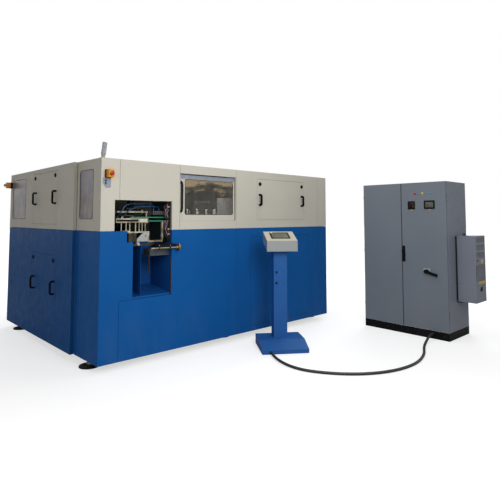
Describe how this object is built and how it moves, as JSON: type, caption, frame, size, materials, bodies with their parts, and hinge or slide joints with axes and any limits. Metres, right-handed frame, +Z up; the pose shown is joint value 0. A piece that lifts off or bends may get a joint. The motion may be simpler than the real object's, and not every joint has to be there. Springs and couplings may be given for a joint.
{
  "type": "blow moulding machine",
  "caption": "Panelled stretch blow moulding machine with a take-out bay, sliding window, pull-off covers, operator console, control cabinet with cooling unit and a floor cable.",
  "frame": {"origin": "middle of the set's bounding box on the floor", "axes": "+X to the right along the machine's long front, +Y from the front to the back, +Z up"},
  "size_m": [4.462, 4.947, 2.3143],
  "materials": {
    "beige_paint": "satin powder coat",
    "blue_paint": "satin powder coat",
    "grey_paint": "satin powder coat",
    "frame_paint": "satin paint",
    "liner_paint": "satin powder coat",
    "cabinet_paint": "fine textured powder coat",
    "console_grey": "fine textured powder coat",
    "black_paint": "satin paint",
    "rail_aluminium": "anodised",
    "aluminium": "machined",
    "steel": "ground",
    "cast_frame": "painted casting",
    "brass": "dull",
    "black_plastic": "moulded",
    "black_rubber": "moulded",
    "yellow_plastic": "moulded",
    "red_plastic": "moulded",
    "green_plastic": "machined",
    "lamp_plastic": "lenses",
    "preform_plastic": "moulded",
    "blue_hose": "extruded",
    "cable_sheath": "extruded",
    "clear_glass": "clear sheet",
    "screen_glass": "display"
  },
  "bodies": {
    "machine": {"main_frame": "frame_paint", "levelling_feet": "black_rubber", "machine_table": "grey_paint", "front_corner_panel_upper": "beige_paint", "front_header_panel": "beige_paint", "front_window_panel": "beige_paint", "front_cover_panel": "beige_paint", "front_corner_panel_lower": "blue_paint", "front_bay_panel": "blue_paint", "front_service_panels": "blue_paint", "left_panel_upper": "beige_paint", "left_panel_lower": "blue_paint", "rear_panels_upper": "beige_paint", "rear_panels_lower": "blue_paint", "side_windows": "clear_glass", "door_rail": "rail_aluminium", "estop_boxes": "yellow_plastic", "switch_bracket": "steel", "signal_tower": "lamp_plastic", "bay_liner": "liner_paint", "guide_rails": "green_plastic", "guide_frame": "steel", "air_hoses": "blue_hose", "lamp_modules": "grey_paint", "clamp_frame": "cast_frame", "console_stand": "blue_paint", "console_box": "console_grey", "console_screen": "screen_glass", "cabinet_plinth": "black_paint", "cabinet_body": "cabinet_paint", "mounting_panel": "steel", "cooling_unit": "cabinet_paint", "supply_cable": "cable_sheath"},
    "window_door": {"window_door": "beige_paint", "window_glass": "clear_glass", "window_handle": "black_plastic"},
    "front_cover": {"front_cover": "beige_paint"},
    "side_cover_upper": {"side_cover_upper": "beige_paint"},
    "side_cover_lower": {"side_cover_lower": "blue_paint"},
    "latch_front_left": {"latch_front_left": "black_plastic"},
    "latch_front_right": {"latch_front_right": "black_plastic"},
    "latch_upper_near": {"latch_upper_near": "black_plastic"},
    "latch_upper_far": {"latch_upper_far": "black_plastic"},
    "latch_lower_near": {"latch_lower_near": "black_plastic"},
    "latch_lower_far": {"latch_lower_far": "black_plastic"},
    "estop_front_button": {"estop_front_button": "red_plastic"},
    "estop_side_button": {"estop_side_button": "red_plastic"},
    "handwheel": {"handwheel": "brass"},
    "transfer_star": {"transfer_star": "aluminium"},
    "mould_left": {"mould_left": "aluminium"},
    "mould_right": {"mould_right": "aluminium"},
    "stretch_unit": {"stretch_unit": "steel"},
    "cabinet_door_left": {"cabinet_door_left": "cabinet_paint"},
    "lever_boss": {"lever_boss": "black_plastic"},
    "lever_handle": {"lever_handle": "black_plastic"},
    "switch_lever": {"switch_lever": "black_plastic"},
    "oven_wheel": {"oven_wheel": "aluminium", "preforms": "preform_plastic"},
    "cabinet_door_right": {"cabinet_door_right": "cabinet_paint", "door_fittings": "black_plastic"}
  },
  "joints": [
    {"name": "door_slide", "type": "slide", "parent": "machine", "child": "window_door", "axis": [1, 0, 0], "range_m": [0, 0.76]},
    {"name": "front_cover_pull", "type": "slide", "parent": "machine", "child": "front_cover", "axis": [0, -1, 0], "range_m": [0, 0.3]},
    {"name": "side_cover_upper_pull", "type": "slide", "parent": "machine", "child": "side_cover_upper", "axis": [-1, 0, 0], "range_m": [0, 0.3]},
    {"name": "side_cover_lower_pull", "type": "slide", "parent": "machine", "child": "side_cover_lower", "axis": [-1, 0, 0], "range_m": [0, 0.3]},
    {"name": "latch_front_left_turn", "type": "hinge", "parent": "front_cover", "child": "latch_front_left", "pos_m": [0.148, -0.382, 1.982], "axis": [0, -1, 0], "range_deg": [0, 90]},
    {"name": "latch_front_right_turn", "type": "hinge", "parent": "front_cover", "child": "latch_front_right", "pos_m": [0.998, -0.382, 1.982], "axis": [0, -1, 0], "range_deg": [0, 90]},
    {"name": "latch_upper_near_turn", "type": "hinge", "parent": "side_cover_upper", "child": "latch_upper_near", "pos_m": [-2.121, 0.744, 2.036], "axis": [-1, 0, 0], "range_deg": [0, 90]},
    {"name": "latch_upper_far_turn", "type": "hinge", "parent": "side_cover_upper", "child": "latch_upper_far", "pos_m": [-2.121, 1.428, 2.036], "axis": [-1, 0, 0], "range_deg": [0, 90]},
    {"name": "latch_lower_near_turn", "type": "hinge", "parent": "side_cover_lower", "child": "latch_lower_near", "pos_m": [-2.121, 0.744, 1.038], "axis": [-1, 0, 0], "range_deg": [0, 90]},
    {"name": "latch_lower_far_turn", "type": "hinge", "parent": "side_cover_lower", "child": "latch_lower_far", "pos_m": [-2.121, 1.428, 1.038], "axis": [-1, 0, 0], "range_deg": [0, 90]},
    {"name": "front_stop_press", "type": "slide", "parent": "machine", "child": "estop_front_button", "axis": [0, 1, 0], "range_m": [0, 0.006]},
    {"name": "side_stop_press", "type": "slide", "parent": "machine", "child": "estop_side_button", "axis": [1, 0, 0], "range_m": [0, 0.006]},
    {"name": "handwheel_turn", "type": "hinge", "parent": "machine", "child": "handwheel", "pos_m": [-1.381, -0.432, 1.208], "axis": [1, 0, 0], "continuous": true},
    {"name": "oven_turn", "type": "hinge", "parent": "machine", "child": "oven_wheel", "pos_m": [-0.331, 0.468, 1.45], "axis": [0, 0, 1], "continuous": true},
    {"name": "star_turn", "type": "hinge", "parent": "machine", "child": "transfer_star", "pos_m": [-0.971, 0.468, 1.586], "axis": [0, 0, 1], "continuous": true},
    {"name": "mould_left_close", "type": "slide", "parent": "machine", "child": "mould_left", "axis": [1, 0, 0], "range_m": [0, 0.099]},
    {"name": "mould_right_close", "type": "slide", "parent": "machine", "child": "mould_right", "axis": [1, 0, 0], "range_m": [-0.099, 0]},
    {"name": "stretch_stroke", "type": "slide", "parent": "machine", "child": "stretch_unit", "axis": [0, 0, 1], "range_m": [-0.15, 0]},
    {"name": "cabinet_left_open", "type": "hinge", "parent": "machine", "child": "cabinet_door_left", "pos_m": [1.654, -1.015, 1.05], "axis": [0, 0, -1], "range_deg": [0, 110]},
    {"name": "cabinet_right_open", "type": "hinge", "parent": "machine", "child": "cabinet_door_right", "pos_m": [1.654, -2.229, 1.05], "axis": [0, 0, 1], "range_deg": [0, 110]},
    {"name": "lever_boss_turn", "type": "hinge", "parent": "cabinet_door_right", "child": "lever_boss", "pos_m": [1.619, -1.637, 1.078], "axis": [-1, 0, 0], "range_deg": [0, 90]},
    {"name": "lever_fold", "type": "hinge", "parent": "lever_boss", "child": "lever_handle", "pos_m": [1.606, -1.637, 1.09], "axis": [0, 1, 0], "range_deg": [0, 35]},
    {"name": "main_switch_turn", "type": "hinge", "parent": "cabinet_door_right", "child": "switch_lever", "pos_m": [1.609, -1.952, 0.841], "axis": [-1, 0, 0], "range_deg": [0, 90]}
  ],
  "couplings": [
    {"joint": "star_turn", "follows": "oven_turn", "ratio": -3},
    {"joint": "mould_right_close", "follows": "mould_left_close", "ratio": -1}
  ]
}
